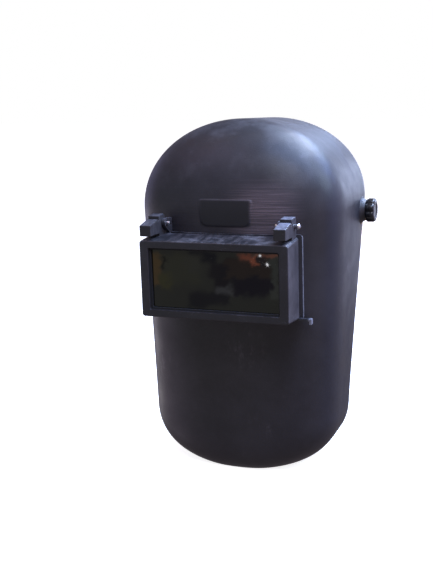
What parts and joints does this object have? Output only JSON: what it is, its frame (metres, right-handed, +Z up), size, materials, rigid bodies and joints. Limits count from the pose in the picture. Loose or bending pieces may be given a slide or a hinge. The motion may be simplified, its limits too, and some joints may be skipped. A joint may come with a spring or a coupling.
{
  "type": "welding helmet",
  "caption": "Hollow moulded welding helmet with a domed crown, a dark lens box that flips up over a clear lens, and a headband that tilts on side knobs.",
  "frame": {"origin": "on the floor, under the middle of the bounding box", "axes": "+Z up, the face looks along -Y, +X to the right when the face is seen from in front"},
  "size_m": [0.2016, 0.2642, 0.3017],
  "materials": {
    "shell_plastic": "satin black, finely grained",
    "frame_plastic": "satin black",
    "filter_glass": "polished, nearly opaque dark green",
    "clear_plate": "polished clear",
    "steel": "bright",
    "knob_plastic": "gloss black",
    "band_plastic": "matt black"
  },
  "bodies": {
    "helmet": {"shell": "shell_plastic", "lens_mount": "frame_plastic", "cover_lens": "clear_plate", "hinge_pin_left": "steel", "hinge_pin_right": "steel"},
    "lens_flip": {"lens_box": "frame_plastic", "filter_glass": "filter_glass", "glass_retainer": "frame_plastic"},
    "headgear": {"side_arm_left": "band_plastic", "side_arm_right": "band_plastic", "headband": "band_plastic", "crown_strap": "band_plastic", "rear_adjuster": "knob_plastic"},
    "knob_left": {"tilt_knob_left": "knob_plastic"},
    "knob_right": {"tilt_knob_right": "knob_plastic"}
  },
  "joints": [
    {"name": "lens_flip_hinge", "type": "hinge", "parent": "helmet", "child": "lens_flip", "pos_m": [0, -0.10706, 0.219], "axis": [-1, 0, 0], "range_deg": [0, 90]},
    {"name": "headgear_tilt", "type": "hinge", "parent": "helmet", "child": "headgear", "pos_m": [0, 0.01476, 0.216], "axis": [1, 0, 0], "range_deg": [-10, 60]},
    {"name": "tilt_knob_left_turn", "type": "hinge", "parent": "headgear", "child": "knob_left", "pos_m": [0.0965, 0.01476, 0.216], "axis": [1, 0, 0], "range_deg": [-180, 180]},
    {"name": "tilt_knob_right_turn", "type": "hinge", "parent": "headgear", "child": "knob_right", "pos_m": [-0.0965, 0.01476, 0.216], "axis": [-1, 0, 0], "range_deg": [-180, 180]}
  ]
}
